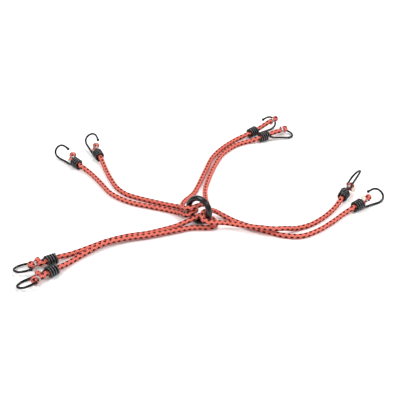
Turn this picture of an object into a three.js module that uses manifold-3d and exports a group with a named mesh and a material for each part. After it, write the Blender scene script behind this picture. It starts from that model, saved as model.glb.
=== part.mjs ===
// A spider bungee strap lying on a flat surface, in millimetres, +Z up.
// Four elastic cords are each folded through one upright ring. The ends of each cord run out as two
// arms. Every end passes through the coil of a wire hook, is folded back on itself, and is held by a
// steel band that keeps it from slipping out of the coil.
import * as THREE from 'three';
import { mergeVertices } from 'three/addons/utils/BufferGeometryUtils.js';
import Module from 'manifold-3d';

const wasm = await Module();
wasm.setup();

// Driving dimensions
const CORD_RADIUS = 3.5;
const CORD_SIDES = 8;
const STEPS_PER_SPAN = 2;
const FLOOR = 3.35;
const RISING = 3.8;

const FOLD_RADIUS = 5.0;
const BALL_SIDES = 8;
const BALL_ROWS = 6;
const STUB_RADIUS = 3.7;
const NECK_FROM_FOLD = 4.4;
const NECK_WIDTH = 3.0;
const NECK_HALF_WIDE = 3.4;
const NECK_HALF_THICK = 2.4;
const NECK_SHIFT = 1.2;
const BAND_GAP = 0.36;
const BAND_THICKNESS = 0.8;
const BAND_SEGMENTS = 6;
const CUTTER_SIZE = 9;

const WIRE_RADIUS = 1.55;
const WIRE_SIDES = 6;
const COIL_TURNS = 4.1;
const COIL_MOUTH_RADIUS = 5.7;
const COIL_END_RADIUS = 6.3;
const COIL_POINTS_PER_TURN = 10;
const COIL_LEAD_OUT = 0.38;
const TIP_RADIUS = 2.2;

const RING_RADIUS = 16.4;
const RING_SECTION_RADIUS = 4.15;
const RING_SECTION_SIDES = 10;
const RING_STEPS = 32;
const RING_TURN = -36;
const RING_TILT = 10;
const FOOT_CUT = 0.3;

const CORD_COLOUR = 0xee6353;
const BLACK_COLOUR = 0x1d1e20;
const STEEL_COLOUR = 0xc9ccd0;

// The bow of a hook, from the end of its coil to its tip: how far along the coil's axis, and how far
// across it. The shank is straight, the bend is wide, and the tip turns back in.
const BOW = [
  { along: 4.5, across: 0 },
  { along: 17.0, across: 0 },
  { along: 28.5, across: 0 },
  { along: 34.4, across: 1.7 },
  { along: 37.9, across: 5.0 },
  { along: 38.6, across: 9.5 },
  { along: 36.8, across: 14.4 },
  { along: 32.6, across: 18.4 },
  { along: 27.2, across: 20.0 },
  { along: 21.6, across: 19.8 },
  { along: 16.8, across: 18.8 },
];

// Each cord's route, chosen point by point from its first fold to its last: the tail outside the first
// coil, the straight stretch in the coil from its hook side to its mouth, the run along the surface
// through the ring, and the same at the other end. At each fold the cord turns back, and a short stub
// ends in its cut face at the place given. FLOOR is the height of a cord's middle on the surface, and
// RISING its height where it starts to rise into a coil.
const CORDS = {
  a: {
    firstStub: [-190.3, 142, 6.6],
    firstTail: [[-186, 149.9, 11.8], [-186.8, 144.6, 9.6]],
    firstCoil: [[-185.5, 140.6, 7.5], [-180.1, 135.6, 7.2], [-174.9, 130.7, 6.9]],
    run: [
      [-172, 128, 6.5], [-158, 115, RISING], [-141, 91, FLOOR], [-125, 66, FLOOR], [-109, 51.2, FLOOR],
      [-91, 40.8, FLOOR], [-66, 32.2, FLOOR], [-46, 25.6, FLOOR], [-31, 19.5, RISING], [-23, 12.5, 6.8],
      [-15, 2.4, 10.8], [-9.6, 1.4, 14.6], [-4, 5.5, 15.2], [-2.3, 11.5, 12.9], [-5.2, 16.4, 8.7],
      [-17.5, 25, 5], [-28, 31.5, RISING], [-42, 36.5, FLOOR], [-60, 43, FLOOR], [-81, 51.4, FLOOR],
      [-101, 61.6, FLOOR], [-114.5, 76, FLOOR], [-127, 101, FLOOR], [-137, 127, RISING], [-145, 148.6, 6.5],
    ],
    lastCoil: [[-146.8, 152.1, 6.9], [-150.1, 158.5, 7.2], [-153.5, 165, 7.5]],
    lastTail: [[-154.8, 169.8, 9.8], [-154, 175.7, 12]],
    lastStub: [-158.2, 169, 7.1],
  },
  b: {
    firstStub: [113.5, 245.5, 10.5],
    firstTail: [[121.4, 245.8, 18.7], [112, 241.2, 15.5], [101, 234.6, 11.2]],
    firstCoil: [[90.8, 228.4, 7.5], [85, 224, 7.2], [79.3, 219.6, 6.9]],
    run: [
      [76.1, 217.2, 6.5], [60, 208, RISING], [38, 184, FLOOR], [22.5, 158, FLOOR], [10.5, 119, FLOOR],
      [1.5, 86, FLOOR], [-5.5, 64, RISING], [-12, 48, 7.6], [-17, 34, 12.7], [-20.8, 20.5, 16.1],
      [-20.3, 10, 17.9], [-16.5, 4.6, 20.8], [-10, 2.2, 23.2], [-2.4, 4.5, 24.1], [4.1, 9.1, 23.8],
      [11, 15, 20.6], [12.5, 27, 13.4], [11.5, 41, 7], [10.5, 56, RISING], [10.5, 74, FLOOR],
      [16.8, 106, FLOOR], [26, 138.5, FLOOR], [38, 167.5, FLOOR], [58, 191, FLOOR], [78.5, 202, RISING],
      [92.4, 204.9, 6.5],
    ],
    lastCoil: [[95.8, 207, 6.9], [102, 210.7, 7.2], [108.2, 214.5, 7.5]],
    lastTail: [[120, 220.6, 9], [130, 225, 9.5], [135.9, 227.2, 9.5]],
    lastStub: [128, 228, 11.3],
  },
  c: {
    firstStub: [219.5, 62.2, 11],
    firstTail: [[215.6, 73, 9.6], [211, 66.5, 8.4]],
    firstCoil: [[208.1, 60.9, 7.5], [204.7, 54.4, 7.2], [201.3, 48.1, 6.9]],
    run: [
      [199.4, 44.6, 6.5], [192, 33.5, RISING], [181, 18.6, FLOOR], [165, 1.6, FLOOR], [148, -10.8, FLOOR],
      [129, -19, 4.9], [115, -24.8, 9.7], [102, -27.7, 11.1], [85, -24.4, 10.5], [68, -19.2, 8.8],
      [50, -14, 8.1], [33, -14.3, 11], [20.5, -17.5, 13.4], [12.5, -17.8, 14.8], [7.4, -13.7, 16.1],
      [5.7, -8.8, 18.3], [7.8, -2.1, 19.3], [13.5, 1.6, 19.2], [18.4, 7, 15.8], [25.5, 12.5, 9.1],
      [36, 9.2, 4.7], [50, -0.6, FLOOR], [70, -12.3, FLOOR], [92, -23.6, FLOOR], [116, -32.4, FLOOR],
      [138, -33, FLOOR], [160, -21.5, FLOOR], [182, -2.5, FLOOR], [200, 15.5, RISING],
      [211.3, 23.2, 6.5],
    ],
    lastCoil: [[214.5, 25.6, 6.9], [220.3, 29.8, 7.2], [226.2, 34.1, 7.5]],
    lastTail: [[231, 37.6, 8.2], [236, 41.4, 10.6]],
    lastStub: [228.8, 34.9, 16.7],
  },
  d: {
    firstStub: [-200.6, -88.2, 10.8],
    firstTail: [[-207.3, -99.3, 8.5], [-198.5, -95.4, 8.6]],
    firstCoil: [[-190.8, -90.2, 7.5], [-184.8, -86, 7.2], [-179, -81.8, 6.9]],
    run: [
      [-175.8, -79.5, 6.5], [-163, -71, RISING], [-145, -60, FLOOR], [-121, -45, FLOOR],
      [-93, -33.5, FLOOR], [-66, -27, FLOOR], [-44, -19.5, 4.2], [-27, -14, 6], [-15, -9, 8.8],
      [-5.2, -4, 10.3], [3, -0.2, 12.6], [9.3, 2.6, 9.7], [15, 4, 6.4], [21, 1.2, 4.2],
      [24.5, -5, FLOOR], [22, -11.5, FLOOR], [14, -15, FLOOR], [3, -15, FLOOR], [-9, -16.2, 3.8],
      [-24, -21.2, 4.5], [-42, -27.2, 4.9], [-66, -34.6, 5.2], [-92, -40.8, 5.8],
      [-120, -52.3, 6.7], [-142, -67.9, 4.9], [-161, -86, RISING], [-172.4, -99.3, 6.5],
    ],
    lastCoil: [[-175.4, -102, 6.9], [-180.7, -106.8, 7.2], [-186.1, -111.7, 7.5]],
    lastTail: [[-192.5, -118.6, 7.2], [-198.7, -124.6, 5.3]],
    lastStub: [-197, -114.4, 12.5],
  },
};

// One row for each hook: which end of which cord it grips, how far it has rolled round the cord from
// standing straight up, how far its shank leans out from the coil's axis, and how far it tilts
// sideways from it, in degrees.
const HOOKS = [
  { name: 'a1', cord: 'a', end: 'first', roll: -32, lean: 2, tilt: -3 },
  { name: 'a2', cord: 'a', end: 'last', roll: -49, lean: -4, tilt: -6 },
  { name: 'b1', cord: 'b', end: 'first', roll: 23, lean: 4, tilt: 2 },
  { name: 'b2', cord: 'b', end: 'last', roll: 82, lean: 22, tilt: -7 },
  { name: 'c1', cord: 'c', end: 'first', roll: 143, lean: 23, tilt: 6 },
  { name: 'c2', cord: 'c', end: 'last', roll: 43, lean: 8, tilt: 1 },
  { name: 'd1', cord: 'd', end: 'first', roll: 75, lean: 24, tilt: -2 },
  { name: 'd2', cord: 'd', end: 'last', roll: 71, lean: 17, tilt: -5 },
];

const UP = new THREE.Vector3(0, 0, 1);
const HALF_STEP = 0.5;
const MERGE_WITHIN = 1e-4;
const UNDER_SIZE = 900;
const UNDER_DEPTH = 60;

// A smooth curve that is walked evenly from point to point. Its sections follow the frames given.
class Route extends THREE.CatmullRomCurve3 {
  getSpacedPoints(steps) {
    return this.getPoints(steps);
  }

  computeFrenetFrames(steps) {
    const frames = { tangents: [], normals: [], binormals: [] };
    for (let i = 0; i <= steps; i += 1) {
      const tangent = this.getTangent(i / steps);
      const normal = this.sideOf(tangent, frames.normals[i - 1]);
      frames.tangents.push(tangent);
      frames.normals.push(normal);
      frames.binormals.push(tangent.clone().cross(normal));
    }
    return frames;
  }
}

// A cord's section never rolls, so that one flat side stays underneath.
class CordRoute extends Route {
  sideOf(tangent) {
    return UP.clone().cross(tangent).normalize();
  }
}

// A wire's section keeps its last direction as nearly as it can. It starts in line with the coil's
// axis, so that flat sides face the neighbouring turns.
class WireRoute extends Route {
  constructor(points, axis) {
    super(points);
    this.axis = axis;
  }

  sideOf(tangent, last) {
    const side = (last || this.axis).clone();
    return side.addScaledVector(tangent, -side.dot(tangent)).normalize();
  }
}

function vectors(points) {
  return points.map((p) => new THREE.Vector3(...p));
}

function routeOf(cord) {
  const { firstTail, firstCoil, run, lastCoil, lastTail } = CORDS[cord];
  return new CordRoute(vectors([...firstTail, ...firstCoil, ...run, ...lastCoil, ...lastTail]));
}

// A regular section. A turn of half a step puts flat sides underneath and on top.
function section(radius, sides, turn) {
  const points = [];
  for (let i = 0; i < sides; i += 1) {
    const angle = ((i + turn) * 2 * Math.PI) / sides;
    points.push(new THREE.Vector2(radius * Math.cos(angle), radius * Math.sin(angle)));
  }
  return new THREE.Shape(points);
}

function solidOf(geometry) {
  const plain = geometry.index ? geometry.toNonIndexed() : geometry;
  const bare = new THREE.BufferGeometry();
  bare.setAttribute('position', plain.getAttribute('position'));
  const merged = mergeVertices(bare, MERGE_WITHIN);
  return new wasm.Manifold(new wasm.Mesh({
    numProp: 3,
    vertProperties: new Float32Array(merged.getAttribute('position').array),
    triVerts: new Uint32Array(merged.index.array),
  }));
}

function geometryOf(solid) {
  const mesh = solid.getMesh();
  const geometry = new THREE.BufferGeometry();
  geometry.setAttribute('position', new THREE.BufferAttribute(mesh.vertProperties, 3));
  geometry.setIndex(new THREE.BufferAttribute(mesh.triVerts, 1));
  return geometry;
}

// Whatever reaches below the surface is cut away, which leaves the small flats that a piece rests on.
function cutFlatUnderneath(solid) {
  const box = new THREE.BoxGeometry(UNDER_SIZE, UNDER_SIZE, UNDER_DEPTH);
  box.translate(0, 0, -UNDER_DEPTH / 2);
  return solid.subtract(solidOf(box));
}

// The fold at one end of a cord: its middle, the way out of the cord there, and the side that the
// stub lies on.
function foldOf(cord, end) {
  const route = routeOf(cord);
  const place = end === 'first' ? 0 : 1;
  const middle = route.getPoint(place);
  const out = route.getTangent(place);
  if (end === 'first') out.negate();
  const stubEnd = new THREE.Vector3(...CORDS[cord][`${end}Stub`]);
  const toStub = stubEnd.clone().sub(middle);
  const side = toStub.clone().addScaledVector(out, -toStub.dot(out)).normalize();
  const neck = middle.clone().addScaledVector(out, -NECK_FROM_FOLD).addScaledVector(side, NECK_SHIFT);
  return { middle, out, side, stubEnd, neck };
}

// A flat oval plate with an oval hole, round the neck, of a given width along the cord.
function neckPlate(fold, outline, hole, width) {
  const shape = new THREE.Shape();
  shape.absellipse(0, 0, outline.wide, outline.thick, 0, 2 * Math.PI);
  const opening = new THREE.Path();
  opening.absellipse(0, 0, hole.wide, hole.thick, 0, 2 * Math.PI);
  shape.holes.push(opening);
  const plate = new THREE.ExtrudeGeometry(shape, {
    depth: width, steps: 1, bevelEnabled: false, curveSegments: BAND_SEGMENTS,
  });
  plate.translate(0, 0, -width / 2);
  const third = fold.out.clone().cross(fold.side);
  plate.applyMatrix4(new THREE.Matrix4().makeBasis(fold.side, third, fold.out).setPosition(fold.neck));
  return plate;
}

function stubGeometry(fold) {
  const along = fold.stubEnd.clone().sub(fold.middle);
  const stub = new THREE.CylinderGeometry(STUB_RADIUS, STUB_RADIUS, along.length(), CORD_SIDES);
  stub.translate(0, along.length() / 2, 0);
  const turn = new THREE.Quaternion().setFromUnitVectors(new THREE.Vector3(0, 1, 0), along.normalize());
  stub.applyQuaternion(turn);
  stub.translate(fold.middle.x, fold.middle.y, fold.middle.z);
  return stub;
}

function cordSolid(cord) {
  const route = routeOf(cord);
  const tube = new THREE.ExtrudeGeometry(section(CORD_RADIUS, CORD_SIDES, HALF_STEP), {
    steps: STEPS_PER_SPAN * (route.points.length - 1),
    extrudePath: route,
  });
  let solid = solidOf(tube);
  for (const end of ['first', 'last']) {
    const fold = foldOf(cord, end);
    const bend = new THREE.SphereGeometry(FOLD_RADIUS, BALL_SIDES, BALL_ROWS);
    bend.translate(fold.middle.x, fold.middle.y, fold.middle.z);
    solid = solid.add(solidOf(bend)).add(solidOf(stubGeometry(fold)));
    const outside = { wide: CUTTER_SIZE, thick: CUTTER_SIZE };
    const inside = { wide: NECK_HALF_WIDE, thick: NECK_HALF_THICK };
    solid = solid.subtract(solidOf(neckPlate(fold, outside, inside, NECK_WIDTH)));
  }
  return geometryOf(solid);
}

function bandGeometry(cord, end) {
  const hole = { wide: NECK_HALF_WIDE + BAND_GAP, thick: NECK_HALF_THICK + BAND_GAP };
  const outline = { wide: hole.wide + BAND_THICKNESS, thick: hole.thick + BAND_THICKNESS };
  return neckPlate(foldOf(cord, end), outline, hole, NECK_WIDTH - 2 * BAND_GAP);
}

// The axes of a hook: along its coil, across from the shank's side to the tip's side, and the third.
function hookAxes(hook) {
  const coil = vectors(CORDS[hook.cord][`${hook.end}Coil`]);
  if (hook.end === 'first') coil.reverse();
  const mouth = coil[0];
  const far = coil[coil.length - 1];
  const along = far.clone().sub(mouth).normalize();
  const side = UP.clone().cross(along).normalize();
  const up = along.clone().cross(side);
  const roll = THREE.MathUtils.degToRad(hook.roll);
  const across = up.clone().multiplyScalar(Math.cos(roll)).addScaledVector(side, Math.sin(roll));
  return { mouth, far, along, across, third: along.clone().cross(across) };
}

// The wire of a hook: the widening coil from its mouth, a short lead out, the shank, bend and tip.
function wirePoints(hook) {
  const { mouth, far, along, across, third } = hookAxes(hook);
  const length = far.distanceTo(mouth);
  const points = [];
  const count = Math.round(COIL_TURNS * COIL_POINTS_PER_TURN);
  for (let i = 0; i <= count; i += 1) {
    const share = i / count;
    const radius = THREE.MathUtils.lerp(COIL_MOUTH_RADIUS, COIL_END_RADIUS, share);
    const angle = Math.PI - COIL_LEAD_OUT - 2 * Math.PI * COIL_TURNS * (1 - share);
    points.push(mouth.clone()
      .addScaledVector(along, length * share)
      .addScaledVector(across, radius * Math.cos(angle))
      .addScaledVector(third, radius * Math.sin(angle)));
  }
  const lean = THREE.MathUtils.degToRad(hook.lean);
  const tilt = THREE.MathUtils.degToRad(hook.tilt);
  const ahead = along.clone().multiplyScalar(Math.cos(tilt)).addScaledVector(third, Math.sin(tilt));
  const shank = ahead.clone().multiplyScalar(Math.cos(lean)).addScaledVector(across, -Math.sin(lean));
  const width = ahead.clone().multiplyScalar(Math.sin(lean)).addScaledVector(across, Math.cos(lean));
  const root = far.clone().addScaledVector(across, -COIL_END_RADIUS);
  for (const row of BOW) {
    points.push(root.clone().addScaledVector(shank, row.along).addScaledVector(width, row.across));
  }
  return points;
}

function hookSolid(hook) {
  const points = wirePoints(hook);
  const wire = new THREE.ExtrudeGeometry(section(WIRE_RADIUS, WIRE_SIDES, HALF_STEP), {
    steps: points.length - 1,
    extrudePath: new WireRoute(points, hookAxes(hook).along),
  });
  const tip = points[points.length - 1];
  const bulb = new THREE.SphereGeometry(TIP_RADIUS, BALL_SIDES, BALL_ROWS);
  bulb.translate(tip.x, tip.y, tip.z);
  return geometryOf(cutFlatUnderneath(solidOf(wire).add(solidOf(bulb))));
}

function ringSolid() {
  const ring = new THREE.TorusGeometry(RING_RADIUS, RING_SECTION_RADIUS, RING_SECTION_SIDES, RING_STEPS);
  ring.rotateX(THREE.MathUtils.degToRad(90 - RING_TILT));
  ring.rotateZ(THREE.MathUtils.degToRad(RING_TURN));
  const tilt = THREE.MathUtils.degToRad(RING_TILT);
  const turn = THREE.MathUtils.degToRad(RING_TURN);
  const back = RING_RADIUS * Math.sin(tilt);
  const height = RING_RADIUS * Math.cos(tilt) + RING_SECTION_RADIUS - FOOT_CUT;
  ring.translate(-back * Math.sin(turn), back * Math.cos(turn), height);
  return geometryOf(cutFlatUnderneath(solidOf(ring)));
}

const cordMaterial = new THREE.MeshStandardMaterial({ color: CORD_COLOUR, roughness: 0.75 });
const blackMaterial = new THREE.MeshStandardMaterial({ color: BLACK_COLOUR, roughness: 0.4 });
const steelMaterial = new THREE.MeshStandardMaterial({
  color: STEEL_COLOUR, roughness: 0.35, metalness: 1,
});

const strap = new THREE.Group();

function addPiece(name, geometry, material) {
  const mesh = new THREE.Mesh(geometry, material);
  mesh.name = name;
  strap.add(mesh);
}

addPiece('centre_ring', ringSolid(), blackMaterial);
for (const cord of Object.keys(CORDS)) {
  addPiece(`cord_${cord}`, cordSolid(cord), cordMaterial);
}
for (const hook of HOOKS) {
  addPiece(`hook_${hook.name}`, hookSolid(hook), blackMaterial);
  addPiece(`band_${hook.name}`, bandGeometry(hook.cord, hook.end), steelMaterial);
}

export default strap;
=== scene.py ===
# %% [markdown]
# # A spider bungee strap
# This object ties luggage down on a rack. Four braided elastic cords are each folded through one
# small ring, and their eight ends carry wire hooks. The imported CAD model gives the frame, and this
# lesson dresses it: it builds the cords, hooks, steel bands and ring again with the detail that shows
# close up, in the same places.
#
# All sizes are in metres. Small ones are easier to read in millimetres, so they are multiplied by MM.

# %% Load the frame
import math

import bpy
import numpy as np
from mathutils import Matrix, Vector


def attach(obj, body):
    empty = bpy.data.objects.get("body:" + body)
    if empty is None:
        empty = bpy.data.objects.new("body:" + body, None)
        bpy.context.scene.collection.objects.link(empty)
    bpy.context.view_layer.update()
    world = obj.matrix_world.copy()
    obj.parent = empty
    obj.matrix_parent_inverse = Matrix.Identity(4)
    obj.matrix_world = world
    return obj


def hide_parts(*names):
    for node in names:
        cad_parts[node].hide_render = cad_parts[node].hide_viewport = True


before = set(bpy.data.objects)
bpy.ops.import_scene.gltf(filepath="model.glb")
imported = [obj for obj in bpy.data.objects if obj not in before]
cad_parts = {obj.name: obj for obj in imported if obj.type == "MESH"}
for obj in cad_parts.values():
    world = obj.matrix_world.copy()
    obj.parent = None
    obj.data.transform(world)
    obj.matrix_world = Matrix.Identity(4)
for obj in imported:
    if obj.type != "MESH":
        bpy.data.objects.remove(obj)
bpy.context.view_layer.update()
MM = 0.001
UP = np.array([0.0, 0.0, 1.0])

# %% [markdown]
# ## The camera
# The strap was photographed from its front, about 36 degrees above the surface, with a long lens from
# a little over a metre away. It could be aimed by a constraint, but a place and a turn are plainer. A
# camera points straight down until it is turned, and turned up by 54 degrees it looks down at that
# angle. The lens was worked out so that the cords lie where they do in the picture.

# %% Place the camera
CAMERA_PLACE = (0.0030, -0.8876, 0.6829)
CAMERA_TILT = math.radians(54)
LENS_MM = 74.32

camera_data = bpy.data.cameras.new("camera")
camera_data.lens = LENS_MM
camera = bpy.data.objects.new("camera", camera_data)
camera.location = CAMERA_PLACE
camera.rotation_euler = (CAMERA_TILT, 0, 0)
bpy.context.collection.objects.link(camera)
bpy.context.scene.camera = camera
print("the camera is", round(math.dist(CAMERA_PLACE, (0, 0, 0)), 3), "m from the ring")

# %% [markdown]
# ## Smooth lines through chosen points
# Each cord and each wire follows a line that was chosen point by point. Blender's Bezier curves would
# need handles at every point. A Catmull-Rom curve needs none and passes through every point it is
# given, so the cords lie exactly where the points say. The centripetal kind spaces its parameter by
# the square root of each gap, and so makes no loops where points are close.


# %% A line through points, and the same line in even steps
def smooth_line(points, steps):
    """The centripetal Catmull-Rom line through the points, with the same number of steps a gap."""
    given = np.array(points, float)
    before = 2 * given[0] - given[1]
    after = 2 * given[-1] - given[-2]
    p = np.vstack([before, given, after])
    share = (np.arange(steps) / steps)[:, None]
    line = []
    for p0, p1, p2, p3 in zip(p[:-3], p[1:-2], p[2:-1], p[3:]):
        d0, d1, d2 = (math.sqrt(math.dist(a, b)) for a, b in ((p0, p1), (p1, p2), (p2, p3)))
        t1 = ((p1 - p0) / d0 - (p2 - p0) / (d0 + d1) + (p2 - p1) / d1) * d1
        t2 = ((p2 - p1) / d1 - (p3 - p1) / (d1 + d2) + (p3 - p2) / d2) * d1
        cubic = (2 * p1 - 2 * p2 + t1 + t2) * share ** 3
        square = (3 * p2 - 3 * p1 - 2 * t1 - t2) * share ** 2
        line.append(cubic + square + t1 * share + p1)
    return np.vstack(line + [given[-1:]])


def lengths_along(line):
    """How far along the line each of its points is."""
    gaps = np.linalg.norm(np.diff(line, axis=0), axis=1)
    return np.concatenate([[0.0], np.cumsum(gaps)])


def even_steps(line, step):
    """The same line in equal steps of about this length, and the length at each of its points."""
    along = lengths_along(line)
    places = np.linspace(0, along[-1], max(2, round(along[-1] / step)) + 1)
    points = np.stack([np.interp(places, along, line[:, i]) for i in range(3)], axis=1)
    return points, places


def unit(vectors):
    """The same vectors, or one vector, at length 1."""
    return vectors / np.linalg.norm(vectors, axis=-1, keepdims=True)


print("a line through 3 points, in 10 steps a gap, has", len(smooth_line(np.eye(3), 10)), "points")

# %% [markdown]
# ## Tubes
# A cord, a wire and a fold are all tubes: rings of points round a line, joined by four-sided faces.
# Blender's own curve bevel could make a plain tube. Here every ring's outline can differ, so that the
# braid has relief and the cord is squeezed in its band, and the tube carries a UV map that tells the
# material how far round and how far along each point is.


# %% Join rings of points into a tube
def tube(name, rings, along, closed_round=False):
    """A mesh object through rings of points: rings[i, j] is point j of ring i, all in metres."""
    count, sides, _ = rings.shape
    corners = rings.reshape(-1, 3)
    i, j = np.meshgrid(np.arange(count - 1), np.arange(sides), indexing="ij")
    here = i * sides + j
    beside = i * sides + (j + 1) % sides
    quads = np.stack([here, beside, beside + sides, here + sides], axis=-1).reshape(-1, 4)
    around = np.stack([j, j + 1, j + 1, j], axis=-1).reshape(-1, 4) / sides
    lengthwise = np.stack([along[i], along[i], along[i + 1], along[i + 1]], axis=-1).reshape(-1, 4)
    uv = np.stack([around, lengthwise], axis=-1).reshape(-1, 2)
    faces = quads.tolist()
    if closed_round:
        last = (count - 1) * sides
        faces += [[last + k, last + (k + 1) % sides, (k + 1) % sides, k] for k in range(sides)]
        cap_uv = [(0, along[-1])] * (4 * sides)
    else:
        faces += [list(range(sides))[::-1], list(range((count - 1) * sides, count * sides))]
        cap_uv = [(0, along[0])] * sides + [(0, along[-1])] * sides
    mesh = bpy.data.meshes.new(name)
    mesh.from_pydata(corners.tolist(), [], faces)
    layer = mesh.uv_layers.new(name="braid")
    layer.data.foreach_set("uv", np.vstack([uv, cap_uv]).ravel())
    mesh.polygons.foreach_set("use_smooth", [True] * len(mesh.polygons))
    mesh.update()
    piece = bpy.data.objects.new(name, mesh)
    bpy.context.collection.objects.link(piece)
    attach(piece, "root")
    return piece


print("tubes can now be made from rings of points")

# %% [markdown]
# ## Where the cords lie
# The photograph shows each cord from end to end. It comes out of one hook's coil, runs along the
# surface to the ring, passes through it, and runs back out to its other hook. The elastic is limp, so
# it lies flat on the surface except near the ring, in the coils, and where one run lies on the other.
# A physics simulation could let it fall there, but it wouldn't fall just as in the photograph. FLAT is
# the height of the middle of a cord on the surface, and LIFT its height where it starts to rise.
#
# Each list starts and ends at a fold, where the cord is turned back on itself outside its hook.

# %% The route of each cord
CORD_RADIUS = 3.5 * MM
FLAT = 3.35 * MM
LIFT = 3.8 * MM

ROUTES = {
    "a": [
        (-0.1860, 0.1499, 0.0118), (-0.1868, 0.1446, 0.0096), (-0.1855, 0.1406, 0.0075),
        (-0.1801, 0.1356, 0.0072), (-0.1749, 0.1307, 0.0069), (-0.1720, 0.1280, 0.0065),
        (-0.1580, 0.1150, LIFT), (-0.1410, 0.0910, FLAT), (-0.1250, 0.0660, FLAT), (-0.1090, 0.0512, FLAT),
        (-0.0910, 0.0408, FLAT), (-0.0660, 0.0322, FLAT), (-0.0460, 0.0256, FLAT), (-0.0310, 0.0195, LIFT),
        (-0.0230, 0.0125, 0.0068), (-0.0150, 0.0024, 0.0108), (-0.0096, 0.0014, 0.0146),
        (-0.0040, 0.0055, 0.0152), (-0.0023, 0.0115, 0.0129), (-0.0052, 0.0164, 0.0087),
        (-0.0175, 0.0250, 0.0050), (-0.0280, 0.0315, LIFT), (-0.0420, 0.0365, FLAT),
        (-0.0600, 0.0430, FLAT), (-0.0810, 0.0514, FLAT), (-0.1010, 0.0616, FLAT), (-0.1145, 0.0760, FLAT),
        (-0.1270, 0.1010, FLAT), (-0.1370, 0.1270, LIFT), (-0.1450, 0.1486, 0.0065),
        (-0.1468, 0.1521, 0.0069), (-0.1501, 0.1585, 0.0072), (-0.1535, 0.1650, 0.0075),
        (-0.1548, 0.1698, 0.0098), (-0.1540, 0.1757, 0.0120),
    ],
    "b": [
        (0.1214, 0.2458, 0.0187), (0.1120, 0.2412, 0.0155), (0.1010, 0.2346, 0.0112),
        (0.0908, 0.2284, 0.0075), (0.0850, 0.2240, 0.0072), (0.0793, 0.2196, 0.0069),
        (0.0761, 0.2172, 0.0065), (0.0600, 0.2080, LIFT), (0.0380, 0.1840, FLAT), (0.0225, 0.1580, FLAT),
        (0.0105, 0.1190, FLAT), (0.0015, 0.0860, FLAT), (-0.0055, 0.0640, LIFT), (-0.0120, 0.0480, 0.0076),
        (-0.0170, 0.0340, 0.0127), (-0.0208, 0.0205, 0.0161), (-0.0203, 0.0100, 0.0179),
        (-0.0165, 0.0046, 0.0208), (-0.0100, 0.0022, 0.0232), (-0.0024, 0.0045, 0.0241),
        (0.0041, 0.0091, 0.0238), (0.0110, 0.0150, 0.0206), (0.0125, 0.0270, 0.0134),
        (0.0115, 0.0410, 0.0070), (0.0105, 0.0560, LIFT), (0.0105, 0.0740, FLAT), (0.0168, 0.1060, FLAT),
        (0.0260, 0.1385, FLAT), (0.0380, 0.1675, FLAT), (0.0580, 0.1910, FLAT), (0.0785, 0.2020, LIFT),
        (0.0924, 0.2049, 0.0065), (0.0958, 0.2070, 0.0069), (0.1020, 0.2107, 0.0072),
        (0.1082, 0.2145, 0.0075), (0.1200, 0.2206, 0.0090), (0.1300, 0.2250, 0.0095),
        (0.1359, 0.2272, 0.0095),
    ],
    "c": [
        (0.2156, 0.0730, 0.0096), (0.2110, 0.0665, 0.0084), (0.2081, 0.0609, 0.0075),
        (0.2047, 0.0544, 0.0072), (0.2013, 0.0481, 0.0069), (0.1994, 0.0446, 0.0065),
        (0.1920, 0.0335, LIFT), (0.1810, 0.0186, FLAT), (0.1650, 0.0016, FLAT), (0.1480, -0.0108, FLAT),
        (0.1290, -0.0190, 0.0049), (0.1150, -0.0248, 0.0097), (0.1020, -0.0277, 0.0111),
        (0.0850, -0.0244, 0.0105), (0.0680, -0.0192, 0.0088), (0.0500, -0.0140, 0.0081),
        (0.0330, -0.0143, 0.0110), (0.0205, -0.0175, 0.0134), (0.0125, -0.0178, 0.0148),
        (0.0074, -0.0137, 0.0161), (0.0057, -0.0088, 0.0183), (0.0078, -0.0021, 0.0193),
        (0.0135, 0.0016, 0.0192), (0.0184, 0.0070, 0.0158), (0.0255, 0.0125, 0.0091),
        (0.0360, 0.0092, 0.0047), (0.0500, -0.0006, FLAT), (0.0700, -0.0123, FLAT), (0.0920, -0.0236, FLAT),
        (0.1160, -0.0324, FLAT), (0.1380, -0.0330, FLAT), (0.1600, -0.0215, FLAT), (0.1820, -0.0025, FLAT),
        (0.2000, 0.0155, LIFT), (0.2113, 0.0232, 0.0065), (0.2145, 0.0256, 0.0069),
        (0.2203, 0.0298, 0.0072), (0.2262, 0.0341, 0.0075), (0.2310, 0.0376, 0.0082),
        (0.2360, 0.0414, 0.0106),
    ],
    "d": [
        (-0.2073, -0.0993, 0.0085), (-0.1985, -0.0954, 0.0086), (-0.1908, -0.0902, 0.0075),
        (-0.1848, -0.0860, 0.0072), (-0.1790, -0.0818, 0.0069), (-0.1758, -0.0795, 0.0065),
        (-0.1630, -0.0710, LIFT), (-0.1450, -0.0600, FLAT), (-0.1210, -0.0450, FLAT),
        (-0.0930, -0.0335, FLAT), (-0.0660, -0.0270, FLAT), (-0.0440, -0.0195, 0.0042),
        (-0.0270, -0.0140, 0.0060), (-0.0150, -0.0090, 0.0088), (-0.0052, -0.0040, 0.0103),
        (0.0030, -0.0002, 0.0126), (0.0093, 0.0026, 0.0097), (0.0150, 0.0040, 0.0064),
        (0.0210, 0.0012, 0.0042), (0.0245, -0.0050, FLAT), (0.0220, -0.0115, FLAT), (0.0140, -0.0150, FLAT),
        (0.0030, -0.0150, FLAT), (-0.0090, -0.0162, 0.0038), (-0.0240, -0.0212, 0.0045),
        (-0.0420, -0.0272, 0.0049), (-0.0660, -0.0346, 0.0052), (-0.0920, -0.0408, 0.0058),
        (-0.1200, -0.0523, 0.0067), (-0.1420, -0.0679, 0.0049), (-0.1610, -0.0860, LIFT),
        (-0.1724, -0.0993, 0.0065), (-0.1754, -0.1020, 0.0069), (-0.1807, -0.1068, 0.0072),
        (-0.1861, -0.1117, 0.0075), (-0.1925, -0.1186, 0.0072), (-0.1987, -0.1246, 0.0053),
    ],
}
LINE_STEPS = 40
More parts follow.
